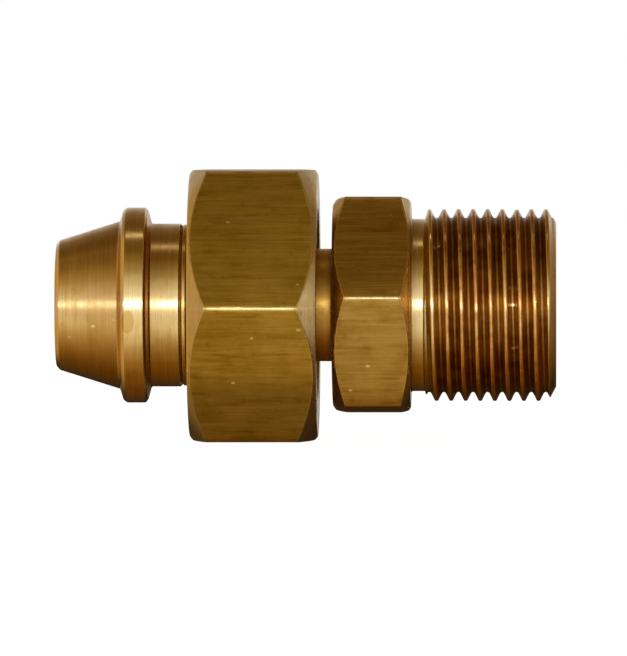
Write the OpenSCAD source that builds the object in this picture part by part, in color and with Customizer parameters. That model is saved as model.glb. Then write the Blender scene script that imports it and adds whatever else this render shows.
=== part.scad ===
// Brass flare fitting: a cone nose drawn up by a loose union nut, and a male
// threaded end for a tube. The axis of the flow passage lies along X, the
// threaded end points to +X, +Z is up, and the origin is on the axis at
// mid-length. All sizes in millimetres.

/* [Threaded end] */
// Major diameter of the male thread
thread_d = 19.8; // [19.4:0.1:20.2]
// Pitch of the male thread
thread_pitch = 1.5; // [1.25:0.05:1.75]
// Number of full grooves cut in the male thread
thread_turns = 8; // [5:1:8]
// Diameter of the run-out groove behind the thread
relief_d = 17.75; // [17.2:0.05:18]
// Diameter of the flat face at the threaded end
end_face_d = 16.8; // [16:0.1:17.5]

/* [Body] */
// Distance across the flats of the fixed hexagon
hex_af = 21.6; // [21.4:0.1:23]
// Length of the fixed hexagon
hex_len = 8.05; // [6:0.05:9]
// Angle the fixed hexagon is rolled about the axis
hex_roll = -3.2; // [-30:0.1:30]
// Diameter of the neck the nut hangs on
neck_d = 11.6; // [11:0.1:12.5]
// Diameter of the flange that the nose piece is screwed against
flange_d = 16.6; // [16:0.1:16.8]
// Thickness of that flange
flange_t = 0.5; // [0.4:0.05:0.8]

/* [Nose] */
// Diameter of the cone at its tip
cone_tip_d = 13.3; // [12.5:0.1:14]
// Diameter of the cone where it meets the collar
cone_base_d = 17.3; // [16.8:0.1:17.8]
// Length of the cone
cone_len = 6.55; // [6:0.05:7]
// Diameter of the collar the nut pulls on
collar_d = 20.12; // [19.9:0.02:20.2]
// Thickness of the collar
collar_t = 3.1; // [2:0.1:3.2]
// Diameter of the plain cylinder behind the collar
sleeve_d = 16.8; // [16.5:0.1:16.9]

/* [Flow passage] */
// Diameter of the flow bore
bore_d = 8; // [6:0.5:8.5]
// Diameter of the tube socket in the threaded end
socket_d = 12.2; // [11:0.1:12.4]
// Length of the tube socket's straight wall
socket_len = 6; // [4:0.5:7]
// Length of the tapered mouth in front of the socket
mouth_len = 5.5; // [4:0.5:6]
// Included angle of the tapered mouth
mouth_angle = 24; // [20:1:26]

/* [Union nut] */
// Distance across the flats of the nut
nut_af = 27.8; // [27:0.1:30]
// Length of the nut
nut_len = 13.2; // [13:0.1:13.4]
// Angle the nut is rolled about the axis
nut_roll = 1.5; // [-30:0.1:30]
// Major diameter of the nut's thread
nut_thread_d = 22; // [22:0.1:23]
// Diameter of the hole in the nut's back wall
nut_hole_d = 17.2; // [17.1:0.05:17.6]
// Thickness of the nut's back wall
nut_wall = 3; // [2.5:0.1:3.4]
// Diameter of the countersink in the nut's back face
nut_sink_d = 19.9; // [18:0.1:20.2]
// Where the nut's open end sits along the axis at rest
nut_x0 = -12; // [-12.2:0.05:-11.8]

/* [Thrust ring] */
// Thickness of the ring between the nut's wall and the collar
ring_t = 0.8; // [0.5:0.1:1.2]
// Outside diameter of the ring
ring_d = 20.25; // [20:0.05:20.3]
// Inside diameter of the ring
ring_hole_d = 17; // [16.95:0.05:17.2]

/* [Hidden] */
$fn = 96;
eps = 0.01;

total_len = 51.5;
tip_x = -total_len / 2;               // face of the cone's tip
collar_x0 = tip_x + cone_len;         // front of the collar
collar_x1 = collar_x0 + collar_t;     // back of the collar
joint_x = -12.7;                      // nose piece meets the flange
flange_x1 = joint_x + flange_t;
end_x = total_len / 2;                // face of the threaded end
hex_x0 = 2.75;
hex_x1 = hex_x0 + hex_len;
relief_x1 = hex_x1 + 1.4;

// Screwed joint inside the nose
spigot_pitch = 1;
spigot_d = 12;
spigot_x0 = -20;                      // free end of the spigot
seal_t = 0.8;
nose_floor_x = spigot_x0 - seal_t;    // shoulder the seal sits on

// 60 degree thread forms: depth of a groove, and half its width at the surface
function deep_ext(p) = 0.6134 * p;
function deep_int(p) = 0.5413 * p;
function half_wide(p) = 7 * p / 16;

// One groove as four points [radius, x]: cut = +1 into a shaft, -1 into a bore wall.
function groove(x, r, p, deep, cut) =
    [[r, x - half_wide(p)],
     [r - cut * deep, x - half_wide(p) + deep * tan(30)],
     [r - cut * deep, x + half_wide(p) - deep * tan(30)],
     [r, x + half_wide(p)]];

function grooves(x_first, n, r, p, deep, cut) =
    [for (i = [0 : n - 1]) for (q = groove(x_first + i * p, r, p, deep, cut)) q];

// A solid of revolution about the X axis from points [radius, x]
module turned(points) {
    rotate([0, 90, 0]) rotate_extrude() polygon(points);
}

// A hexagonal bar along X, its corners towards +Y and -Y before it is rolled
module hex_bar(af, x0, x1, roll) {
    translate([x0, 0, 0]) rotate([roll, 0, 0]) rotate([0, 90, 0])
        rotate([0, 0, 30]) cylinder(r = af / sqrt(3), h = x1 - x0, $fn = 6);
}

// Hexagonal bar with both ends turned off to a cone
module chamfered_hex(af, x0, x1, roll, face_r0, slope0, face_r1, slope1) {
    corner = af / sqrt(3) + 0.3;
    intersection() {
        hex_bar(af, x0, x1, roll);
        turned([[0, x0], [face_r0, x0],
                [corner, x0 + (corner - face_r0) * slope0],
                [corner, x1 - (corner - face_r1) * slope1],
                [face_r1, x1], [0, x1]]);
    }
}

// Male thread: the first groove opens out of the run-out groove
thread_first = relief_x1 + 1.05;
thread_last = thread_first + (thread_turns - 1) * thread_pitch;
chamfer_len = (thread_d - end_face_d) / 2 * tan(28);

module body() {
    neck_r = neck_d / 2;
    step_r = 7.35;
    color([0.71, 0.52, 0.25])
    difference() {
        union() {
            // threaded end and run-out groove
            turned(concat(
                [[0, hex_x1 - 1], [relief_d / 2, hex_x1 - 1], [relief_d / 2, relief_x1],
                 [thread_d / 2, relief_x1 + 0.35]],
                grooves(thread_first, thread_turns, thread_d / 2, thread_pitch,
                        deep_ext(thread_pitch), 1),
                [[thread_d / 2, end_x - chamfer_len], [end_face_d / 2, end_x], [0, end_x]]));
            // fixed hexagon
            chamfered_hex(hex_af, hex_x0, hex_x1, hex_roll, 10.35, 0.66, 10.5, 0.53);
            // neck with a small root radius, ramp and flange
            turned([[0, joint_x - 1], [spigot_d / 2 - 0.8, joint_x - 1],
                    [spigot_d / 2 - 0.8, joint_x], [flange_d / 2 - 0.1, joint_x],
                    [flange_d / 2, joint_x + 0.1], [flange_d / 2, flange_x1 - 0.1],
                    [flange_d / 2 - 0.1, flange_x1], [step_r, flange_x1],
                    [neck_r, flange_x1 + step_r - neck_r],
                    [neck_r, hex_x0 - 0.35], [neck_r + 0.35, hex_x0], [neck_r + 0.35, hex_x0 + 1],
                    [0, hex_x0 + 1]]);
            // threaded spigot that the nose piece is screwed on
            turned(concat(
                [[0, spigot_x0], [spigot_d / 2 - 0.75, spigot_x0], [spigot_d / 2 - 0.03, spigot_x0 + 0.5]],
                grooves(spigot_x0 + 1.05, 5, spigot_d / 2 - 0.03, spigot_pitch,
                        deep_ext(spigot_pitch), 1),
                [[spigot_d / 2 - 0.03, joint_x - 1.6], [spigot_d / 2 - 0.8, joint_x - 1.3],
                 [spigot_d / 2 - 0.8, joint_x + eps], [0, joint_x + eps]]));
        }
        // flow bore, tube socket and tapered mouth
        mouth_r = socket_d / 2 + mouth_len * tan(mouth_angle / 2);
        turned([[0, spigot_x0 - 1], [bore_d / 2 + 1.3, spigot_x0 - 1],
                [bore_d / 2 + 0.3, spigot_x0], [bore_d / 2, spigot_x0 + 0.3],
                [bore_d / 2, end_x - mouth_len - socket_len - 0.5],
                [socket_d / 2, end_x - mouth_len - socket_len],
                [socket_d / 2, end_x - mouth_len], [mouth_r, end_x],
                [mouth_r, end_x + 1], [0, end_x + 1]]);
    }
}

module nose_piece() {
    r = spigot_d / 2 + 0.03;
    deep = deep_int(spigot_pitch);
    color([0.74, 0.56, 0.29])
    difference() {
        turned([[0, tip_x], [cone_tip_d / 2 - 0.35, tip_x],
                [cone_tip_d / 2 + 0.05, tip_x + 0.35],
                [cone_base_d / 2, collar_x0],
                [collar_d / 2 - 0.3, collar_x0 + 0.35], [collar_d / 2, collar_x0 + 0.7],
                [collar_d / 2, collar_x1 - 0.45], [collar_d / 2 - 0.35, collar_x1 - 0.2],
                [sleeve_d / 2 + 0.1, collar_x1 + 0.13], [sleeve_d / 2, collar_x1 + 0.25],
                [sleeve_d / 2, joint_x - 0.25], [sleeve_d / 2 - 0.25, joint_x], [0, joint_x]]);
        // flow bore with a broken edge, seal seat, female thread and its lead-in
        turned(concat(
            [[0, tip_x - 1], [bore_d / 2 + 1.3, tip_x - 1], [bore_d / 2 + 0.3, tip_x],
             [bore_d / 2, tip_x + 0.3], [bore_d / 2, nose_floor_x], [r - deep, nose_floor_x]],
            grooves(spigot_x0 + 0.55, 6, r - deep, spigot_pitch, deep, -1),
            [[r - deep, joint_x - 0.9], [r + 0.1, joint_x - 0.2], [r + 0.1, joint_x + 1],
             [0, joint_x + 1]]));
    }
}

module joint_seal() {
    color([0.93, 0.93, 0.9])
    turned([[bore_d / 2 + 0.15, nose_floor_x], [spigot_d / 2 - 0.75, nose_floor_x],
            [spigot_d / 2 - 0.75, spigot_x0], [bore_d / 2 + 0.15, spigot_x0]]);
}

nut_x1 = nut_x0 + nut_len;
nut_floor_x = nut_x1 - nut_wall;
ring_x1 = nut_floor_x - 0.02;
ring_x0 = ring_x1 - ring_t;

module thrust_ring() {
    color([0.66, 0.48, 0.24])
    turned([[ring_hole_d / 2 + 0.35, ring_x0], [ring_d / 2 - 0.15, ring_x0],
            [ring_d / 2, ring_x0 + 0.15], [ring_d / 2, ring_x1 - 0.15],
            [ring_d / 2 - 0.15, ring_x1], [ring_hole_d / 2, ring_x1],
            [ring_hole_d / 2, ring_x0 + 0.35]]);
}

module union_nut() {
    p = thread_pitch;
    deep = deep_int(p);
    minor = nut_thread_d / 2 - deep;
    turns = 4;
    first = nut_x0 + 1.75;
    under_x = first + (turns - 1) * p + half_wide(p);
    color([0.6, 0.44, 0.18])
    difference() {
        chamfered_hex(nut_af, nut_x0, nut_x1, nut_roll,
                      0.4875 * nut_af, 0.8, 0.4875 * nut_af, 0.8);
        turned(concat(
            [[0, nut_x0 - 1], [minor + 2, nut_x0 - 1], [minor + 1, nut_x0], [minor, nut_x0 + 1]],
            grooves(first, turns, minor, p, deep, -1),
            [[minor, under_x + 0.1], [nut_thread_d / 2 + 0.1, under_x + 0.7],
             [nut_thread_d / 2 + 0.1, ring_x0 - 0.8], [minor, ring_x0 - 0.3],
             [minor, nut_floor_x], [nut_hole_d / 2, nut_floor_x],
             [nut_hole_d / 2, nut_x1 - (nut_sink_d - nut_hole_d) / 2],
             [nut_sink_d / 2, nut_x1], [nut_sink_d / 2, nut_x1 + 1], [0, nut_x1 + 1]]));
    }
}

body();
nose_piece();
joint_seal();
thrust_ring();
union_nut();
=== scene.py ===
import math

import bmesh
import bpy
import numpy as np
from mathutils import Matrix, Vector


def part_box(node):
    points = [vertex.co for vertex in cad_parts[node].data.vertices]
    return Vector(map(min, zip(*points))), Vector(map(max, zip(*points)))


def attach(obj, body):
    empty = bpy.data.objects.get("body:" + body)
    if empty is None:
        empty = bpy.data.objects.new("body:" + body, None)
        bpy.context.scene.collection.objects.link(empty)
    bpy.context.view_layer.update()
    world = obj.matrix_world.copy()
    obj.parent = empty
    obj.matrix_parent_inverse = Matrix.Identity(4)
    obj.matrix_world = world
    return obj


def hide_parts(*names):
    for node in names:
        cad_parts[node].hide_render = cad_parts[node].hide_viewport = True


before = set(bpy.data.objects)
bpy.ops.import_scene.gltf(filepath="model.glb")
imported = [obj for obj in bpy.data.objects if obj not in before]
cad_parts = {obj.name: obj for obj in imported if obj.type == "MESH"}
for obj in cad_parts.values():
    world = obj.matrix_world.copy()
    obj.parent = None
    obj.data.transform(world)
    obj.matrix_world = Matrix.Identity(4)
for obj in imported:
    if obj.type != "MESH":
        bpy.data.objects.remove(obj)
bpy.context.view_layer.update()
MM = 0.001

# ---------------------------------------------------------------- stations, in millimetres, from the frame
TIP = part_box("nose_piece")[0].x / MM          # face of the cone's tip
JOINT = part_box("nose_piece")[1].x / MM        # nose piece meets the flange
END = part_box("body")[1].x / MM                # face of the threaded end
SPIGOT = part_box("body")[0].x / MM             # free end of the hidden spigot
NUT0, NUT1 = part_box("union_nut")[0].x / MM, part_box("union_nut")[1].x / MM
RING0, RING1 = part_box("thrust_ring")[0].x / MM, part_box("thrust_ring")[1].x / MM
SEAL0, SEAL1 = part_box("joint_seal")[0].x / MM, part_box("joint_seal")[1].x / MM
COLLAR_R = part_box("nose_piece")[1].z / MM
PITCH = 1.5


# ---------------------------------------------------------------- columns: angle about +X, from +Y towards +Z
def columns(roll_deg, fine=True):
    """Angles of the mesh's columns, gathered round a hexagon's six corners."""
    if fine:
        offs = [.12, .25, .42, .65, 1.0, 1.6, 2.6, 4, 6, 8.5, 11, 13.5, 16, 18.5, 21, 23.5, 26, 28]
    else:
        offs = [2.5, 5, 7.5, 10, 12.5, 15, 17.5, 20, 22.5, 25, 27.5]
    one = sorted([0.0, 30.0] + offs + [-o for o in offs])
    angles = sorted(roll_deg + 60 * k + o for k in range(6) for o in one)
    return np.radians(np.array(angles))


def hex_radius(theta, af, roll_deg, p):
    """Radius of a hexagon with slightly rounded corners."""
    a = af / 2
    s = np.zeros_like(theta)
    for k in range(6):
        c = np.cos(theta - math.radians(30 + 60 * k + roll_deg))
        s += np.where(c > 0.2, np.abs(c), 0.0) ** p
    return a * s ** (-1.0 / p)


def wobble(seed, *xs):
    """Smooth, repeatable irregularity in about -1..1."""
    rng = np.random.RandomState(seed)
    out = 0.0
    for _ in range(7):
        ph = rng.uniform(0, 2 * math.pi)
        arg = ph
        for x in xs:
            arg = arg + x * rng.uniform(-1, 1)
        out = out + np.sin(arg) * rng.uniform(0.5, 1)
    return out / 3.2


class Skin:
    """A closed surface round the X axis, made of rings that all share the same columns."""

    def __init__(self, theta):
        self.t = theta
        self.n = len(theta)
        self.co, self.faces = [], []
        # edge marks rims that wear bare; deep marks grooves and inner corners, which the material darkens as painted
        # shade; bar marks drawn flats
        self.attr = {"edge": [], "deep": [], "bar": []}
        self.count = 0
        self.first = self.last = None

    def _add(self, x, r, edge, deep, bar):
        self.co.append(np.stack([x, r * np.cos(self.t), r * np.sin(self.t)], 1))
        for key, v in (("edge", edge), ("deep", deep), ("bar", bar)):
            self.attr[key].append(np.broadcast_to(np.asarray(v, float), (self.n,)))
        ids = np.arange(self.count, self.count + self.n)
        self.count += self.n
        return ids

    def _join(self, a, b):
        a2, b2 = np.roll(a, -1), np.roll(b, -1)
        self.faces.extend(zip(a.tolist(), a2.tolist(), b2.tolist(), b.tolist()))

    def ring(self, x, r, edge=0.0, deep=0.0, bar=0.0):
        x = np.broadcast_to(np.asarray(x, float), (self.n,)).copy()
        r = np.broadcast_to(np.asarray(r, float), (self.n,)).copy()
        ids = self._add(x, r, edge, deep, bar)
        if self.last is not None:
            self._join(self.last, ids)
        else:
            self.first = ids
        self.last = ids
        return ids

    def lathe(self, points, edge=0.0, deep=0.0, bar=0.0):
        """points: (radius, x) or (radius, x, edge, deep)."""
        for q in points:
            e = q[2] if len(q) > 2 else edge
            d = q[3] if len(q) > 3 else deep
            self.ring(q[1], q[0], e, d, bar)

    def helix(self, x0, x1, pitch, x_ref, offsets, radii, limit, inner=False, deeps=None, edges=None, reverse=False,
              noise=None):
        """A right-hand thread between two plain circles. limit(x) is the cone or cylinder it runs out into."""
        per = len(offsets)
        t0 = int(math.floor((x0 - x_ref) / pitch)) - 2
        t1 = int(math.ceil((x1 - x_ref) / pitch)) + 2
        base, rad, dee, edg = [], [], [], []
        for t in range(t0, t1 + 1):
            for i, o in enumerate(offsets):
                base.append(x_ref + (t + o) * pitch)
                rad.append(radii[i])
                dee.append(deeps[i] if deeps is not None else 0.0)
                edg.append(edges[i] if edges is not None else 0.0)
        base, rad = np.array(base), np.array(rad)
        dee, edg = np.array(dee), np.array(edg)
        m = len(base)
        shear = (self.t - self.t[0]) / (2 * math.pi) * pitch
        start = self.t[0] / (2 * math.pi) * pitch
        x = base[None, :] + start + shear[:, None]
        lim0, lim1 = limit(np.array([x0]))[0], limit(np.array([x1]))[0]
        low = self._ring_only(x0, lim0, 0.0, 0.5)
        high = self._ring_only(x1, lim1, 0.0, 0.3)
        ids = np.zeros((self.n, m), int)
        inside = (x > x0 + 1e-4) & (x < x1 - 1e-4)
        lim = limit(x)
        rr = np.broadcast_to(rad[None, :], x.shape)
        if noise is not None:
            rr = rr + noise(x, np.broadcast_to(self.t[:, None], x.shape), dee[None, :])
        r = np.maximum(rr, lim) if inner else np.minimum(rr, lim)
        new = np.where(inside)
        start_id = self.count
        k = len(new[0])
        tt = self.t[new[0]]
        xx, rrv = x[new], r[new]
        self.co.append(np.stack([xx, rrv * np.cos(tt), rrv * np.sin(tt)], 1))
        self.attr["edge"].append(edg[new[1]])
        self.attr["deep"].append(dee[new[1]])
        self.attr["bar"].append(np.zeros(k))
        ids[new] = np.arange(start_id, start_id + k)
        self.count += k
        for c in range(self.n):
            ids[c, x[c] <= x0 + 1e-4] = low[c]
            ids[c, x[c] >= x1 - 1e-4] = high[c]
        faces = self.faces
        for c in range(self.n):
            if c < self.n - 1:
                a, b = ids[c], ids[c + 1]
            else:
                a = ids[c][: m]
                b = np.concatenate([ids[0][per:], np.full(per, high[0])])
            for j in range(m - 1):
                q = [int(a[j]), int(a[j + 1]), int(b[j + 1]), int(b[j])]
                u = []
                for v in q:
                    if not u or (u[-1] != v):
                        u.append(v)
                if u[0] == u[-1]:
                    u = u[:-1]
                if len(set(u)) == len(u) and len(u) >= 3:
                    faces.append(tuple(u))
        first, last = (high, low) if reverse else (low, high)
        if self.last is not None:
            self._join(self.last, first)
        else:
            self.first = first
        self.last = last

    def _ring_only(self, x, r, edge, deep):
        return self._add(np.full(self.n, float(x)), np.full(self.n, float(r)), edge, deep, 0.0)

    def close(self):
        self._join(self.last, self.first)

    def build(self, name):
        co = np.concatenate(self.co) * MM
        mesh = bpy.data.meshes.new(name)
        mesh.from_pydata(co.tolist(), [], self.faces)
        for key, parts in self.attr.items():
            a = mesh.attributes.new(key, "FLOAT", "POINT")
            a.data.foreach_set("value", np.concatenate(parts).astype(np.float32))
        bm = bmesh.new()
        bm.from_mesh(mesh)
        bmesh.ops.recalc_face_normals(bm, faces=bm.faces)
        bm.to_mesh(mesh)
        bm.free()
        mesh.polygons.foreach_set("use_smooth", [True] * len(mesh.polygons))
        mesh.update()
        ob = bpy.data.objects.new(name, mesh)
        bpy.context.scene.collection.objects.link(ob)
        return ob


# ---------------------------------------------------------------- profiles
def fillet(points, n=4):
    """points: (radius, x, rounding[, edge, deep]) as a polyline. Returns (radius, x, edge, deep) with each corner rounded
    and a support ring on both sides of it."""
    out = []
    last = len(points) - 1
    for i, q in enumerate(points):
        r, x, f = q[0], q[1], q[2]
        e = q[3] if len(q) > 3 else 0.0
        d = q[4] if len(q) > 4 else 0.0
        if i in (0, last) or f <= 0:
            out.append((r, x, e, d))
            continue
        p, a, b = np.array([r, x]), np.array(points[i - 1][:2], float), np.array(points[i + 1][:2], float)
        la, lb = np.linalg.norm(a - p), np.linalg.norm(b - p)
        ua, ub = (a - p) / la, (b - p) / lb
        f = min(f, 0.45 * la, 0.45 * lb)
        s, t = p + ua * f, p + ub * f
        pre, post = p + ua * min(f * 1.5, f + 0.05), p + ub * min(f * 1.5, f + 0.05)
        out.append((pre[0], pre[1], 0.0, d))
        for j in range(n + 1):
            w = j / n
            c = (1 - w) ** 2 * s + 2 * w * (1 - w) * p + w * w * t
            out.append((c[0], c[1], e * (1 - abs(2 * w - 1) * 0.5), d))
        out.append((post[0], post[1], 0.0, d))
    return out


def spread(points, step):
    """Adds rings along long straight stretches, so that shading and bump have vertices to work with."""
    out = [points[0]]
    for q in points[1:]:
        p = out[-1]
        length = math.hypot(q[0] - p[0], q[1] - p[1])
        k = int(length // step)
        for j in range(1, k + 1):
            w = j / (k + 1)
            out.append(tuple(p[i] + (q[i] - p[i]) * w for i in range(4)))
        out.append(q)
    return out


def hex_rings(skin, x0, x1, r_hex, rf0, s0, rf1, s1, e, seed):
    """Rings over a hexagon whose ends are turned off to cones: rim, cone, crease, flats, crease, cone, rim."""
    t = skin.t
    lift0, lift1 = r_hex - rf0, r_hex - rf1
    xb0, xb1 = x0 + lift0 * s0, x1 - lift1 * s1
    # how near each column is to a corner
    corner = np.clip((r_hex - np.percentile(r_hex, 72)) / (r_hex.max() - np.percentile(r_hex, 72)), 0, 1) ** 3
    c0, c1 = math.hypot(1, s0), math.hypot(1, s1)
    e0 = np.minimum(e, 0.3 * lift0 * c0)
    e1 = np.minimum(e, 0.3 * lift1 * c1)

    def bez(p, q, s, w):
        return (1 - w) ** 2 * p + 2 * w * (1 - w) * q + w * w * s

    def cone(x_face, rf, sgn, slope, c, lift, xb, ee):
        """(x, r, edge) rings from the face outwards to the flat."""
        rows = []
        rim = 0.07
        rows.append((x_face + 0 * t, rf - rim * 1.6 + 0 * t, 0.0))
        for w in (0, .33, .67, 1):
            a = np.array([0.0, rf - rim])
            b = np.array([0.0, rf])
            d = np.array([rim * slope / c, rf + rim / c])
            q = bez(a, b, d, w)
            rows.append((x_face + sgn * q[0] + 0 * t, q[1] + 0 * t, 0.55))
        for w in (0.3, 0.5, 0.7, 0.85):
            rows.append((x_face + sgn * w * lift * slope, rf + w * lift, 0.0))
        near_r, near_x = r_hex - ee / c * 1.6, xb - sgn * ee * slope / c * 1.6
        rows.append((near_x, near_r, 0.0))
        for w in (0, .33, .67, 1):
            r = bez(r_hex - ee / c, r_hex, r_hex, w)
            x = bez(xb - sgn * ee * slope / c, xb, xb + sgn * ee, w)
            rows.append((x, r, 0.3))
        rows.append((xb + sgn * ee * 1.5, r_hex, 0.0))
        return rows

    left = cone(x0, rf0, 1, s0, c0, lift0, xb0, e0)
    right = cone(x1, rf1, -1, s1, c1, lift1, xb1, e1)
    def drawn(i):
        # how much of a row still is drawn bar: the flat's own edge wholly, the crease half, the cone a little
        return 1.0 if i == len(left) - 1 else 0.6 if i >= len(left) - 5 else 0.35

    for i, (x, r, edge) in enumerate(left):
        skin.ring(x, r, np.maximum(edge, corner * (0.3 if edge == 0 else 1)), 0.0, drawn(i))
    n = 26
    for j in range(1, n):
        w = j / n
        xa, xz = xb0 + e0 * 1.5, xb1 - e1 * 1.5
        x = xa + (xz - xa) * w
        fade = math.sin(math.pi * w) ** 0.5
        # drawn bar: lengthways waves of a few microns, and a corner with small bruises
        waves = 0.006 * wobble(seed, t * 40.0) + 0.004 * wobble(seed + 1, t * 90.0, x * 0.15)
        bruise = np.clip(wobble(seed + 2, x * 2.1, t * 3.0) + 0.6 * wobble(seed + 3, x * 5.3) - 0.75, 0, 1)
        skin.ring(x, r_hex + fade * (waves * (1 - corner) - 0.07 * bruise * corner), corner * (1.0 - 0.5 * bruise), 0.0, 1.0)
    for i, (x, r, edge) in reversed(list(enumerate(right))):
        skin.ring(x, r, np.maximum(edge, corner * (0.3 if edge == 0 else 1)), 0.0, drawn(i))


EXT = [(0.0, 0.0), (0.05, 0.01), (0.09, 0.045), (0.135, 0.13), (0.195, 0.31), (0.26, 0.52), (0.325, 0.74),
       (0.36, 0.86), (0.40, 0.96), (0.5, 1.0), (0.60, 0.96), (0.64, 0.86), (0.675, 0.74), (0.74, 0.52),
       (0.805, 0.31), (0.865, 0.13), (0.91, 0.045), (0.95, 0.01)]


def ext_thread(r, pitch):
    deep = 0.6134 * pitch
    return [o for o, d in EXT], [r - (1 - d) * deep for o, d in EXT], [1 - d for o, d in EXT], \
        [max(0.0, 1 - (1 - d) * 5) for o, d in EXT]


def int_thread(major, pitch):
    """The groove's deepest line lies at offset 0."""
    deep = 0.5413 * pitch
    prof = [(0.0, 1.0), (0.05, 0.985), (0.085, 0.9), (0.14, 0.72), (0.21, 0.49), (0.28, 0.26), (0.345, 0.06),
            (0.38, 0.008), (0.5, 0.0), (0.62, 0.008), (0.655, 0.06), (0.72, 0.26), (0.79, 0.49), (0.86, 0.72),
            (0.915, 0.9), (0.95, 0.985)]
    return [o for o, d in prof], [major - deep + d * deep for o, d in prof], [d for o, d in prof], \
        [max(0.0, 1 - d * 8) for o, d in prof]


# ---------------------------------------------------------------- body: threaded end, hexagon, neck, flange, spigot, bore
def make_body():
    roll = -3.2
    skin = Skin(columns(roll))
    t = skin.t
    rs = 5.97
    # hidden spigot, from its free end
    skin.lathe(fillet([(4.3, SPIGOT, 0), (5.25, SPIGOT, 0.05), (rs, SPIGOT + 0.5, 0.05), (rs, SPIGOT + 0.56, 0)], 2))
    off, rad, dee, edg = ext_thread(rs, 1.0)
    keep = [0, 2, 4, 6, 8, 9, 10, 12, 14, 16]
    x_run = JOINT - 1.6
    skin.helix(SPIGOT + 0.58, x_run, 1.0, 0.0, [off[i] for i in keep], [rad[i] for i in keep],
               lambda x: np.minimum(rs, np.minimum(5.33 + (x - SPIGOT - 0.58) * 1.2, 5.2 + (x_run - x) * 1.5)),
               deeps=[dee[i] for i in keep], edges=[0 for i in keep])
    skin.lathe(fillet([(5.2, x_run + 0.02, 0), (5.2, JOINT, 0.0), (8.17, JOINT, 0.03, 0, 1), (8.3, JOINT + 0.1, 0.05, 0.8),
                       (8.3, JOINT + 0.42, 0.05, 0.8), (8.2, JOINT + 0.5, 0.03), (7.35, JOINT + 0.5, 0.08, 0, 0.7),
                       (5.8, JOINT + 2.05, 0.4, 0, 0.2)], 3))
    x0, x1 = 2.75, 10.8
    skin.lathe([(5.8, x, 0.0, 0.0) for x in np.linspace(JOINT + 2.7, x0 - 0.7, 9)])
    skin.lathe(fillet([(5.8, x0 - 0.55, 0, 0, 0.1), (5.8, x0, 0.42, 0, 0.6), (7.2, x0, 0.0, 0, 0.3), (9.2, x0, 0.0)], 5))
    r_hex = hex_radius(t, 21.6, roll, 150)
    hex_rings(skin, x0, x1, r_hex, 10.35, 0.66, 10.5, 0.53, 0.08, 11)
    rel1 = 12.2
    rr = 8.875
    skin.lathe(fillet([(10.25, x1, 0), (rr, x1, 0.3, 0, 0.8), (rr, rel1 - 0.2, 0, 0, 0.1)], 5))
    R = 9.9
    off, rad, dee, edg = ext_thread(R, PITCH)
    # a crest passes the top of the thread at x = 14.17 mm
    x_ref = 14.17 - PITCH * 0.75
    end_len = 0.798

    def limit(x):
        ramp = rr + np.maximum(0, x - rel1) * 3.0
        tail = 8.4 + (END - x) * (1.5 / end_len)
        return np.minimum(np.minimum(ramp, tail), R)

    def grain(x, th, d):
        c, s = np.cos(th), np.sin(th)
        return 0.022 * (1 - d) * wobble(31, x * 1.1, c * 3.0, s * 3.0) - 0.09 * (1 - d) * np.clip(
            wobble(32, x * 3.7, c * 11.0, s * 11.0) - 0.5, 0, 1)

    skin.helix(rel1 + 0.001, END - 0.09, PITCH, x_ref, off, rad, limit, deeps=dee, edges=edg, noise=grain)
    # rounded rim, flat end face, tapered mouth, socket and flow bore
    mouth = 6.1 + 5.5 * math.tan(math.radians(12))
    pts = fillet([(8.4 + 0.09 * 1.5 / end_len, END - 0.09, 0), (8.4, END, 0.07, 0.5), (mouth, END, 0.08, 0.4),
                  (6.1, END - 5.5, 0.05), (6.1, END - 11.5, 0.05, 0, 0.7), (4.0, END - 12.0, 0.1, 0, 0.7),
                  (4.0, SPIGOT + 0.3, 0.05, 0, 0.8), (4.3, SPIGOT, 0)], 3)[1:-1]
    skin.lathe(spread(pts, 1.2))
    skin.close()
    return skin.build("body_turned")


def make_nose():
    skin = Skin(columns(0.0, fine=False))
    c0 = TIP + 6.55                      # front of the collar
    c1 = c0 + 3.1                        # back of the collar
    cr = COLLAR_R
    pts = fillet([(4.3, TIP, 0), (6.3, TIP, 0.05), (6.70, TIP + 0.35, 0.12, 0.5), (8.65, c0, 0.12, 0, 0.5),
                  (cr - 0.3, c0 + 0.35, 0.10, 0.1, 0.25), (cr, c0 + 0.7, 0.15, 0.4), (cr, c1 - 0.45, 0.12, 0.4),
                  (cr - 0.35, c1 - 0.2, 0.08, 0.0, 0.7), (8.5, c1 + 0.13, 0.08, 0, 0.9), (8.4, c1 + 0.25, 0.05, 0, 0.4),
                  (8.4, JOINT - 0.25, 0.05, 0.3), (8.15, JOINT, 0.03, 0, 1), (7.0, JOINT, 0), (6.13, JOINT, 0.0),
                  (6.13, JOINT - 0.2, 0.0), (5.5, JOINT - 0.85, 0)], 5)
    pts = [p for i, p in enumerate(pts) if i == 0 or math.hypot(p[0] - pts[i - 1][0], p[1] - pts[i - 1][1]) > 1e-5]
    skin.lathe(spread(pts, 0.5))
    off, rad, dee, edg = int_thread(6.03, 1.0)
    x_hi, x_lo = JOINT - 0.87, SEAL0 + 0.12
    minor = 6.03 - 0.5413
    # the bore's thread follows the spigot's, groove over crest
    skin.helix(x_lo, x_hi, 1.0, 0.0, off, rad,
               lambda x: np.maximum(minor, np.maximum(minor + 0.56 - (x_hi - x) * 1.0, minor + 0.56 - (x - x_lo) * 1.5)),
               inner=True, deeps=dee, edges=[0] * len(edg), reverse=True)
    skin.lathe(spread(fillet([(6.04, SEAL0 + 0.1, 0), (6.04, SEAL0, 0.0), (4.0, SEAL0, 0.05), (4.0, TIP + 0.3, 0.1, 0.3),
                              (4.3, TIP, 0.0)], 3)[:-1], 1.0))
    skin.close()
    return skin.build("nose_piece_turned")


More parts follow.
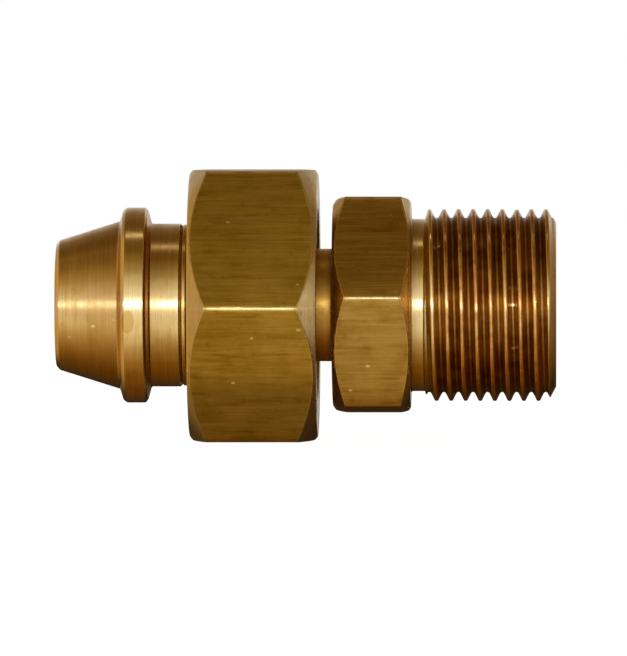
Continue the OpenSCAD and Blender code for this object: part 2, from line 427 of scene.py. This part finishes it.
def make_nut():
    roll = 1.5
    skin = Skin(columns(roll))
    t = skin.t
    r_hex = hex_radius(t, 27.8, roll, 110)
    rf = 13.55
    minor, major = 11.0 - 0.5413 * PITCH, 11.0
    skin.lathe([(minor + 1.06, NUT0), (minor + 1.3, NUT0), (12.6, NUT0)])
    hex_rings(skin, NUT0, NUT1, r_hex, rf, 0.8, rf, 0.8, 0.08, 51)
    skin.lathe(fillet([(12.6, NUT1, 0), (9.95, NUT1, 0.08, 0.6), (8.6, NUT1 - 1.35, 0.08, 0.3), (8.6, NUT1 - 3.0, 0.05),
                       (minor, NUT1 - 3.0, 0.06, 0, 0.6), (minor, RING0 - 0.3, 0.03), (11.1, RING0 - 0.8, 0.03),
                       (11.1, NUT0 + 7.66, 0)], 3))
    off, rad, dee, edg = int_thread(major, PITCH)
    x_hi = NUT0 + 7.61

    def limit(x):
        return np.maximum(minor, np.maximum(minor + 1.0 - (x - NUT0), 11.1 - (x_hi - x) * 1.3))

    skin.helix(NUT0 + 0.06, x_hi, PITCH, 0.4, off, rad, limit, inner=True, deeps=dee, edges=[e * 0.7 for e in edg],
               reverse=True)
    skin.close()
    return skin.build("union_nut_hexagon")


def make_ring():
    skin = Skin(columns(0.0, fine=False))
    pts = fillet([(8.85, RING0, 0), (9.98, RING0, 0.05, 0.4), (10.125, RING0 + 0.15, 0.05, 0.4),
                  (10.125, RING1 - 0.15, 0.05, 0.4), (9.98, RING1, 0.05, 0.4), (8.5, RING1, 0.05, 0.4),
                  (8.5, RING0 + 0.35, 0.05, 0.4), (8.85, RING0, 0)], 3)[:-1]
    skin.lathe(spread(pts, 0.4))
    skin.close()
    return skin.build("thrust_ring_turned")


def make_seal():
    skin = Skin(columns(0.0, fine=False))
    mid = (SEAL0 + SEAL1) / 2
    pts = fillet([(4.3, SEAL0 + 0.02, 0), (5.15, SEAL0 + 0.02, 0.12), (5.24, mid, 0.2), (5.15, SEAL1 - 0.02, 0.12),
                  (4.3, SEAL1 - 0.02, 0.12), (4.18, mid, 0.2), (4.3, SEAL0 + 0.02, 0)], 4)[:-1]
    skin.lathe(pts)
    skin.close()
    return skin.build("joint_seal_ring")


# ---------------------------------------------------------------- materials
class Net:
    """Small helper for building a node tree."""

    def __init__(self, tree):
        self.t = tree

    def node(self, kind, **props):
        n = self.t.nodes.new(kind)
        for k, v in props.items():
            setattr(n, k, v)
        return n

    def put(self, socket, value):
        if isinstance(value, bpy.types.NodeSocket):
            self.t.links.new(value, socket)
        elif isinstance(value, (tuple, list)) and len(value) == 3 and socket.type == "RGBA":
            socket.default_value = (*value, 1)
        else:
            socket.default_value = value

    def math(self, op, a, b=0.0, c=0.0, clamp=False):
        n = self.node("ShaderNodeMath", operation=op, use_clamp=clamp)
        for s, v in zip(n.inputs, (a, b, c)):
            self.put(s, v)
        return n.outputs[0]

    def vec(self, x, y, z):
        n = self.node("ShaderNodeCombineXYZ")
        for s, v in zip(n.inputs, (x, y, z)):
            self.put(s, v)
        return n.outputs[0]

    def noise(self, vector, scale=1.0, detail=2.0, rough=0.5, distortion=0.0):
        n = self.node("ShaderNodeTexNoise")
        self.put(n.inputs["Vector"], vector)
        self.put(n.inputs["Scale"], scale)
        self.put(n.inputs["Detail"], detail)
        self.put(n.inputs["Roughness"], rough)
        self.put(n.inputs["Distortion"], distortion)
        return n.outputs["Fac"]

    def remap(self, v, a, b, c=0.0, d=1.0, smooth=False):
        n = self.node("ShaderNodeMapRange", clamp=True)
        n.interpolation_type = "SMOOTHSTEP" if smooth else "LINEAR"
        for s, x in zip(n.inputs, (v, a, b, c, d)):
            self.put(s, x)
        return n.outputs[0]

    def mix(self, fac, a, b, blend="MIX"):
        n = self.node("ShaderNodeMix", data_type="RGBA", blend_type=blend, clamp_factor=True)
        self.put(n.inputs[0], fac)
        self.put(n.inputs[6], a)
        self.put(n.inputs[7], b)
        return n.outputs[2]

    def scale(self, colour, k):
        n = self.node("ShaderNodeVectorMath", operation="SCALE")
        self.put(n.inputs[0], colour)
        self.put(n.inputs["Scale"], k)
        return n.outputs[0]


def brass(name, clean, tarnish, dark, rough, rings=1.0, streaks=1.0, patina=0.5, deep_shade=0.8, stain=None, thread=None,
          lines_amp=0.14, crown=None, fresh=None, neck=None, bar_rough=0.05, bar_tone=1.0, chamfer=None, lower_shade=None, end_tint=None):
    m = bpy.data.materials.new(name)
    m.use_nodes = True
    t = m.node_tree
    t.nodes.clear()
    n = Net(t)
    out = n.node("ShaderNodeOutputMaterial")
    bsdf = n.node("ShaderNodeBsdfPrincipled")
    t.links.new(bsdf.outputs[0], out.inputs[0])
    pos = n.node("ShaderNodeTexCoord").outputs["Object"]
    sep = n.node("ShaderNodeSeparateXYZ")
    t.links.new(pos, sep.inputs[0])
    x, y, z = sep.outputs

    def attribute(key):
        a = n.node("ShaderNodeAttribute", attribute_name=key)
        return a.outputs["Fac"]

    edge, deep, bar = attribute("edge"), attribute("deep"), attribute("bar")
    turned = n.math("SUBTRACT", 1, bar)
    rad = n.math("SQRT", n.math("ADD", n.math("MULTIPLY", y, y), n.math("MULTIPLY", z, z)))
    c = n.math("ADD", x, n.math("MULTIPLY", rad, 1.37))
    # tool marks that run round the axis, and drawing marks that run along it
    ring_fine = n.noise(n.vec(n.math("MULTIPLY", c, 7500), n.math("MULTIPLY", y, 110), n.math("MULTIPLY", z, 110)), 1, 3, 0.7)
    ring_wide = n.noise(n.vec(n.math("MULTIPLY", c, 1500), n.math("MULTIPLY", y, 160), n.math("MULTIPLY", z, 160)), 1, 3, 0.6)
    bar_fine = n.noise(n.vec(n.math("MULTIPLY", x, 130), n.math("MULTIPLY", y, 5200), n.math("MULTIPLY", z, 5200)), 1, 3, 0.7)
    bar_wide = n.noise(n.vec(n.math("MULTIPLY", x, 75), n.math("MULTIPLY", y, 1100), n.math("MULTIPLY", z, 1100)), 1, 4, 0.7)
    bar_long = n.noise(n.vec(n.math("MULTIPLY", x, 190), n.math("MULTIPLY", y, 1900), n.math("MULTIPLY", z, 1900)), 1, 3, 0.6)
    mottle = n.noise(pos, 330, 6, 0.65, 0.2)
    speck = n.noise(pos, 1500, 3, 0.65)
    soft = n.noise(pos, 85, 3, 0.5)
    line_fine = n.math("ADD", n.math("MULTIPLY", ring_fine, turned), n.math("MULTIPLY", bar_fine, bar))
    line_wide = n.math("ADD", n.math("MULTIPLY", ring_wide, turned), n.math("MULTIPLY", bar_wide, bar))
    # patina: patches, blurred streaks and freckles
    worn = n.math("MULTIPLY", edge, n.remap(speck, 0.3, 0.6, 0.5, 1.0))
    film = n.math("ADD", n.remap(mottle, 0.35, 0.65, -0.34, 0.34), n.remap(line_wide, 0.33, 0.67, -0.42, 0.42))
    film = n.math("ADD", film, n.remap(soft, 0.35, 0.65, -0.2, 0.2))
    film = n.math("ADD", film, patina)
    new = 0.0
    if fresh is not None:
        f0, f1, f2, f3, fresh_tint = fresh
        new = n.math("MULTIPLY", n.remap(x, f0, f1), n.remap(x, f2, f3, 1, 0))
        new = n.math("MULTIPLY", new, turned)
        film = n.math("SUBTRACT", film, n.math("MULTIPLY", new, 0.3))
    film = n.math("SUBTRACT", film, n.math("MULTIPLY", worn, 1.2), clamp=True)
    colour = n.mix(film, clean, tarnish)
    if fresh is not None:
        colour = n.mix(n.math("MULTIPLY", new, 0.9), colour, fresh_tint)
    # painted shade: the neck between nut and hexagon is darkened and turned more orange, the flange left out
    if neck is not None:
        neck_shade_mask = n.math("MULTIPLY", n.remap(x, neck[0], neck[1], 1, 0), n.remap(x, -0.0120, -0.0117))
        colour = n.mix(n.math("MULTIPLY", neck_shade_mask, 0.85), colour, neck[2])
    if end_tint is not None:
        colour = n.mix(n.math("MULTIPLY", n.remap(x, end_tint[0], end_tint[1]), 0.9), colour, end_tint[2])
    if bar_tone != 1.0:
        colour = n.mix(bar, colour, n.scale(colour, bar_tone))
    if chamfer is not None:
        colour = n.mix(n.math("MULTIPLY", turned, chamfer[1]), colour, chamfer[0])
    bare = (0.90, 0.75, 0.47)
    if thread is not None:
        hue = n.noise(n.vec(n.math("MULTIPLY", x, 900), n.math("MULTIPLY", y, 160), n.math("MULTIPLY", z, 160)), 1, 3, 0.6)
        on_thread = n.remap(x, thread[0], thread[1])
        bare = n.mix(n.math("MULTIPLY", n.remap(hue, 0.42, 0.60), on_thread), bare, (0.74, 0.38, 0.19))
        broken = n.math("MULTIPLY", n.remap(n.noise(pos, 420, 3, 0.65), 0.42, 0.57, 0.85, 0.0), on_thread)
        worn = n.math("MULTIPLY", worn, n.math("SUBTRACT", 1, broken))
    colour = n.mix(n.math("MULTIPLY", worn, 0.75), colour, bare)
    freck = n.math("MULTIPLY", n.remap(speck, 0.58, 0.70, 0, 0.55), film)
    scar = n.math("MULTIPLY", n.math("MULTIPLY", n.remap(bar_long, 0.57, 0.70, 0, 0.6), bar), n.remap(mottle, 0.4, 0.6))
    colour = n.mix(n.math("MAXIMUM", freck, scar), colour, dark)
    if thread is not None:
        x_in0, x_in1, x_out0, x_out1, tint, root_shade = thread
        zone = n.math("MULTIPLY", n.remap(x, x_in0, x_in1), n.remap(x, x_out0, x_out1, 1, 0))
        blotch = n.remap(n.noise(pos, 420, 4, 0.7), 0.36, 0.60, 1.0, 0.35)
        thread_tint_and_root_shade = n.math("MULTIPLY", zone, n.math("MULTIPLY", blotch, n.math("SUBTRACT", 1, n.math("MULTIPLY", worn, 0.85))))
        # the thread's own darker tint, with painted shade in the roots: the root colour takes over where the deep
        # attribute is high
        colour = n.mix(thread_tint_and_root_shade, colour, n.mix(deep, tint, root_shade))
        # painted glints: orange streaks round some of the turns stand for light caught on the thread flanks, less in
        # the roots
        flank_glints = n.remap(n.noise(n.vec(n.math("MULTIPLY", x, 2600), n.math("MULTIPLY", y, 190), n.math("MULTIPLY", z, 190)), 1, 2, 0.6),
                       0.55, 0.64)
        flank_glints = n.math("MULTIPLY", n.math("MULTIPLY", flank_glints, zone), n.math("SUBTRACT", 0.75, n.math("MULTIPLY", deep, 0.5)))
        colour = n.mix(flank_glints, colour, (0.92, 0.46, 0.15))
    else:
        zone = 0.0
    # painted shade: rings marked deep (grooves, inner corners, thread roots) are darkened towards the dark colour
    colour = n.mix(n.math("MULTIPLY", deep, deep_shade), colour, dark)
    tone = n.remap(line_fine, 0.28, 0.72, 1 - lines_amp, 1 + lines_amp)
    # painted shade: darker towards the bottom, from z0 down to z1, as the nut's lower faces are shaded
    if lower_shade is not None:
        tone = n.math("MULTIPLY", tone, n.remap(z, lower_shade[0], lower_shade[1], 1, lower_shade[2], smooth=True))
    colour = n.scale(colour, tone)
    # bare spots where something has struck the metal
    vor = n.node("ShaderNodeTexVoronoi", feature="F1")
    t.links.new(n.vec(n.math("MULTIPLY", x, 420), n.math("MULTIPLY", y, 640), n.math("MULTIPLY", z, 640)), vor.inputs["Vector"])
    vor.inputs["Scale"].default_value = 1.0
    pick = n.node("ShaderNodeSeparateColor")
    t.links.new(vor.outputs["Color"], pick.inputs[0])
    nick = n.math("MULTIPLY", n.remap(vor.outputs["Distance"], 0.06, 0.13, 1, 0, smooth=True),
                  n.remap(pick.outputs[0], 0.66, 0.70))
    colour = n.mix(nick, colour, (1.0, 0.86, 0.58))
    if stain is not None:
        centre, size, stretch, tint = stain
        dx = n.math("MULTIPLY", n.math("SUBTRACT", x, centre[0]), stretch)
        dy, dz = n.math("SUBTRACT", y, centre[1]), n.math("SUBTRACT", z, centre[2])
        d = n.math("SQRT", n.math("ADD", n.math("MULTIPLY", dx, dx), n.math("ADD", n.math("MULTIPLY", dy, dy), n.math("MULTIPLY", dz, dz))))
        blot = n.math("ADD", d, n.math("MULTIPLY", n.math("SUBTRACT", mottle, 0.5), size * 0.5))
        colour = n.mix(n.remap(blot, size * 0.85, size, 0.8, 0.0, smooth=True), colour, tint)
    n.put(bsdf.inputs["Base Color"], colour)
    n.put(bsdf.inputs["Metallic"], 1.0)
    rg = n.math("ADD", n.remap(mottle, 0.3, 0.7, rough - 0.04, rough + 0.05), n.remap(line_fine, 0.3, 0.7, -0.04, 0.05))
    rg = n.math("ADD", rg, n.math("MULTIPLY", film, 0.07))
    rg = n.math("ADD", rg, n.math("MULTIPLY", bar, bar_rough))
    if fresh is not None:
        rg = n.math("SUBTRACT", rg, n.math("MULTIPLY", new, 0.10))
    if neck is not None:
        rg = n.math("ADD", rg, n.math("MULTIPLY", neck_shade_mask, 0.12))
    rg = n.math("ADD", rg, n.math("MULTIPLY", deep, 0.10), clamp=True)
    n.put(bsdf.inputs["Roughness"], rg)
    # bump: tool marks, grain and a few small nicks
    h = n.math("ADD", n.math("MULTIPLY", n.math("MULTIPLY", ring_fine, turned), rings),
               n.math("MULTIPLY", n.math("MULTIPLY", bar_fine, bar), streaks))
    h = n.math("ADD", h, n.math("MULTIPLY", line_wide, 0.8))
    h = n.math("ADD", h, n.math("MULTIPLY", speck, 0.3))
    h = n.math("SUBTRACT", h, n.math("MULTIPLY", nick, 0.25))
    if crown is not None:
        # drawn flats bulge a little: the slope grows evenly from the middle of the flat to its corners
        # and rolls off a little more just beside the corner
        flat_r, half_w, slope, lip = crown
        t2 = n.math("SUBTRACT", n.math("MULTIPLY", rad, rad), flat_r * flat_r)
        k = slope / (2 * half_w) / 0.000004
        q = n.math("DIVIDE", t2, half_w * half_w, clamp=True)
        roll = n.math("MULTIPLY", n.math("MULTIPLY", n.math("MULTIPLY", q, q), q), lip * half_w / 6 / 0.000004)
        h = n.math("SUBTRACT", h, n.math("MULTIPLY", n.math("ADD", n.math("MULTIPLY", t2, k), roll), bar))
    b = n.node("ShaderNodeBump")
    b.inputs["Strength"].default_value = 1.0
    b.inputs["Distance"].default_value = 0.000004
    n.put(b.inputs["Height"], h)
    n.put(bsdf.inputs["Normal"], b.outputs[0])
    return m


def ptfe():
    m = bpy.data.materials.new("ptfe_white")
    m.use_nodes = True
    n = Net(m.node_tree)
    bsdf = m.node_tree.nodes["Principled BSDF"]
    pos = n.node("ShaderNodeTexCoord").outputs["Object"]
    cloud = n.noise(pos, 700, 3, 0.5)
    n.put(bsdf.inputs["Base Color"], n.mix(n.remap(cloud, 0.3, 0.7), (0.82, 0.82, 0.79), (0.92, 0.92, 0.9)))
    n.put(bsdf.inputs["Roughness"], n.remap(cloud, 0.3, 0.7, 0.45, 0.6))
    b = n.node("ShaderNodeBump")
    b.inputs["Strength"].default_value = 0.3
    b.inputs["Distance"].default_value = 0.00001
    n.put(b.inputs["Height"], cloud)
    n.put(bsdf.inputs["Normal"], b.outputs[0])
    return m


body = make_body()
nose = make_nose()
nut = make_nut()
ring = make_ring()
seal = make_seal()

body.data.materials.append(brass("brass_body", (0.80, 0.55, 0.19), (0.55, 0.32, 0.05), (0.20, 0.085, 0.012), 0.20,
                                 patina=0.42, deep_shade=0.5, streaks=0.8, bar_tone=0.80,
                                 # thread zone: its tint, and the root colour that is painted shade in the roots
                                 thread=(0.0128, 0.0141, 0.0243, 0.0249, (0.55, 0.26, 0.092), (0.19, 0.060, 0.014)),
                                 fresh=(0.0107, 0.0111, 0.0127, 0.0135, (0.94, 0.74, 0.42)),
                                 # neck: painted shade between nut and hexagon
                                 neck=(0.0026, 0.0029, (0.70, 0.40, 0.09)),
                                 end_tint=(0.0249, 0.0252, (0.84, 0.57, 0.27)),
                                 crown=(0.0108, 0.00623, 0.040, 0.11)))
nose.data.materials.append(brass("brass_nose", (0.86, 0.65, 0.34), (0.68, 0.46, 0.17), (0.44, 0.21, 0.03), 0.15,
                                 patina=0.22, deep_shade=0.85, lines_amp=0.12,
                                 stain=((-0.0181, -0.00992, -0.0018), 0.00135, 1.9, (0.66, 0.43, 0.13))))
nut.data.materials.append(brass("brass_nut", (0.66, 0.46, 0.11), (0.44, 0.27, 0.025), (0.20, 0.105, 0.010), 0.26,
                                patina=0.55, deep_shade=0.75, streaks=1.0, lines_amp=0.18, crown=(0.0139, 0.00802, 0.050, 0.03),
                                # painted shade on the nut's lower faces
                                chamfer=((0.84, 0.66, 0.36), 0.85), lower_shade=(-0.0060, -0.0094, 0.64)))
ring.data.materials.append(brass("brass_ring", (0.78, 0.56, 0.24), (0.55, 0.35, 0.12), (0.2, 0.1, 0.03), 0.25, patina=0.35))
seal.data.materials.append(ptfe())

for ob, node, bodyname, slot in ((body, "body", "stem", "body_brass"), (nose, "nose_piece", "stem", "nose_brass"),
                                 (seal, "joint_seal", "stem", "seal_ptfe"), (ring, "thrust_ring", "ring", "ring_brass"),
                                 (nut, "union_nut", "nut", "nut_brass")):
    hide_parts(node)
    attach(ob, bodyname)


# ---------------------------------------------------------------- floor, light and camera
def floor_material():
    m = bpy.data.materials.new("pale_floor")
    m.use_nodes = True
    t = m.node_tree
    t.nodes.clear()
    n = Net(t)
    out = n.node("ShaderNodeOutputMaterial")
    em = n.node("ShaderNodeEmission")
    em.inputs["Color"].default_value = (1, 1, 1, 1)
    em.inputs["Strength"].default_value = 0.96
    df = n.node("ShaderNodeBsdfDiffuse")
    df.inputs["Color"].default_value = (0.35, 0.35, 0.35, 1)
    add = n.node("ShaderNodeAddShader")
    t.links.new(em.outputs[0], add.inputs[0])
    t.links.new(df.outputs[0], add.inputs[1])
    t.links.new(add.outputs[0], out.inputs[0])
    return m


floor_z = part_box("union_nut")[0].z - 0.00002
mesh = bpy.data.meshes.new("floor")
bm = bmesh.new()
bmesh.ops.create_grid(bm, x_segments=8, y_segments=8, size=3.0)
bm.to_mesh(mesh)
bm.free()
floor = bpy.data.objects.new("floor", mesh)
bpy.context.scene.collection.objects.link(floor)
floor.location = (0, 0, floor_z)
mesh.materials.append(floor_material())
floor.visible_glossy = False
floor.visible_diffuse = False

scene = bpy.context.scene
scene.view_settings.view_transform = "Standard"
scene.view_settings.look = "None"
scene.view_settings.exposure = 0.0
scene.view_settings.gamma = 1.0
scene.cycles.use_denoising = True
scene.cycles.max_bounces = 8
scene.cycles.sample_clamp_indirect = 6.0


def make_world():
    w = bpy.data.worlds.new("studio")
    scene.world = w
    w.use_nodes = True
    t = w.node_tree
    t.nodes.clear()
    n = Net(t)
    out = n.node("ShaderNodeOutputWorld")
    path = n.node("ShaderNodeLightPath")
    d = n.node("ShaderNodeTexCoord").outputs["Generated"]
    sep = n.node("ShaderNodeSeparateXYZ")
    t.links.new(d, sep.inputs[0])
    x, y, z = sep.outputs
    # angle above the horizon as seen from the front: 0 towards the camera, +-180 behind
    ang = n.math("DIVIDE", n.math("ARCTAN2", z, n.math("MULTIPLY", y, -1)), math.pi)      # -1..1
    fac = n.math("ADD", n.math("MULTIPLY", ang, 0.5), 0.5)
    ramp = n.node("ShaderNodeValToRGB")
    t.links.new(fac, ramp.inputs[0])
    stops = WORLD_STOPS
    els = ramp.color_ramp.elements
    ramp.color_ramp.interpolation = "EASE"
    els[0].position, els[0].color = (stops[0][0] / 180 + 1) / 2, (*stops[0][1], 1)
    els[1].position, els[1].color = (stops[-1][0] / 180 + 1) / 2, (*stops[-1][1], 1)
    for a, col in stops[1:-1]:
        e = els.new((a / 180 + 1) / 2)
        e.color = (*col, 1)
    bg_soft = n.node("ShaderNodeBackground")
    # towards the ends of the axis the studio falls off: plain to the left, dark low down on the right
    low = n.remap(z, -0.35, 0.15)
    right = n.mix(low, (0.13, 0.072, 0.022), (0.27, 0.17, 0.06))
    side_col = n.mix(n.remap(x, -0.3, 0.3), (0.60, 0.40, 0.14), right)
    side = n.remap(n.math("ABSOLUTE", x), 0.38, 0.88, 0, 1, smooth=True)
    soft_col = n.mix(side, ramp.outputs[0], side_col)
    # the ends of the studio at the height of the axis
    level = n.remap(n.math("ABSOLUTE", z), 0.30, 0.03, 0, 1, smooth=True)
    end_right = n.math("MULTIPLY", n.remap(x, 0.93, 0.98, 0, 1, smooth=True), level)
    end_left = n.math("MULTIPLY", n.remap(x, -0.90, -0.97, 0, 1, smooth=True), level)
    soft_col = n.mix(end_right, soft_col, (1.0, 1.0, 1.05))
    soft_col = n.mix(end_left, soft_col, (0.62, 0.46, 0.34))

    def stripe(at, width, strength, tint, x_width):
        d1 = n.math("DIVIDE", n.math("SUBTRACT", ang, at / 180), width / 180)
        d2 = n.math("DIVIDE", x, x_width)
        g = n.math("EXPONENT", n.math("MULTIPLY", n.math("ADD", n.math("MULTIPLY", d1, d1), n.math("MULTIPLY", d2, d2)), -0.5))
        return n.scale(n.mix(0.0, tint, tint), n.math("MULTIPLY", g, strength))

    add = soft_col
    for args in STRIPES:
        v = n.node("ShaderNodeVectorMath", operation="ADD")
        n.put(v.inputs[0], add)
        n.put(v.inputs[1], stripe(*args))
        add = v.outputs[0]
    n.put(bg_soft.inputs["Color"], add)
    bg_soft.inputs["Strength"].default_value = 1.0
    bg_white = n.node("ShaderNodeBackground")
    bg_white.inputs["Color"].default_value = (1, 1, 1, 1)
    mixs = n.node("ShaderNodeMixShader")
    t.links.new(path.outputs["Is Camera Ray"], mixs.inputs[0])
    t.links.new(bg_soft.outputs[0], mixs.inputs[1])
    t.links.new(bg_white.outputs[0], mixs.inputs[2])
    t.links.new(mixs.outputs[0], out.inputs[0])


WORLD_STOPS = [
    (-180, (0.80, 0.80, 0.80)),
    (-177, (0.10, 0.09, 0.08)),
    (-172, (0.02, 0.012, 0.008)),
    (-145, (0.07, 0.037, 0.012)),
    (-120, (0.13, 0.052, 0.005)),
    (-95, (0.20, 0.088, 0.009)),
    (-75, (0.31, 0.165, 0.034)),
    (-63, (0.42, 0.27, 0.095)),
    (-53, (0.53, 0.39, 0.19)),
    (-42, (0.75, 0.63, 0.40)),
    (-28, (0.94, 0.86, 0.68)),
    (0, (0.98, 0.96, 0.90)),
    (14, (0.92, 0.88, 0.77)),
    (28, (0.66, 0.58, 0.40)),
    (44, (0.35, 0.26, 0.105)),
    (58, (0.23, 0.148, 0.038)),
    (68, (0.145, 0.080, 0.012)),
    (110, (0.13, 0.070, 0.014)),
    (135, (0.20, 0.13, 0.065)),
    (155, (0.40, 0.35, 0.29)),
    (170, (0.68, 0.66, 0.63)),
    (180, (0.80, 0.80, 0.80)),
]
# angle, half width, strength, tint, half width along the axis
STRIPES = [
    (1.0, 2.6, 4.0, (0.97, 1.01, 1.06), 0.55),
    (91.0, 3.0, 0.42, (1.0, 0.80, 0.48), 0.22),
]
make_world()


def area(name, loc, target, size, size_y, power, colour=(1, 1, 1)):
    l = bpy.data.lights.new(name, "AREA")
    l.shape = "RECTANGLE"
    l.size, l.size_y = size, size_y
    l.energy = power
    l.color = colour
    o = bpy.data.objects.new(name, l)
    scene.collection.objects.link(o)
    o.location = loc
    o.rotation_euler = (Vector(target) - Vector(loc)).to_track_quat("-Z", "Y").to_euler()
    o.visible_camera = False
    return o


area("front_light", (0.1, -0.9, 0.02), (0, 0, 0), 0.5, 0.06, 0.15, (1.0, 0.97, 0.92))
area("over_light", (0.0, 0.0, 0.6), (0, 0, 0), 0.3, 0.06, 0.02, (1.0, 0.9, 0.75))

cam = bpy.data.cameras.new("camera")
cam_ob = bpy.data.objects.new("camera", cam)
scene.collection.objects.link(cam_ob)
SCALE = 0.1031 * MM                      # metres per image pixel at the axis
AWAY, SIDE = 1.154, math.radians(1.25)    # distance, and how far the camera stands to the right of square on
cam.lens = AWAY / SCALE * 36.0 / 656
cam.sensor_width = 36.0
cam.sensor_fit = "AUTO"
cam.clip_start, cam.clip_end = 0.01, 20
aim = Vector(((313.5 - 306.5) * SCALE, 0, -(328 - 305) * SCALE))
cam_ob.location = aim + AWAY * Vector((math.sin(SIDE), -math.cos(SIDE), 0))
cam_ob.rotation_euler = (math.radians(90), 0, SIDE)
scene.camera = cam_ob
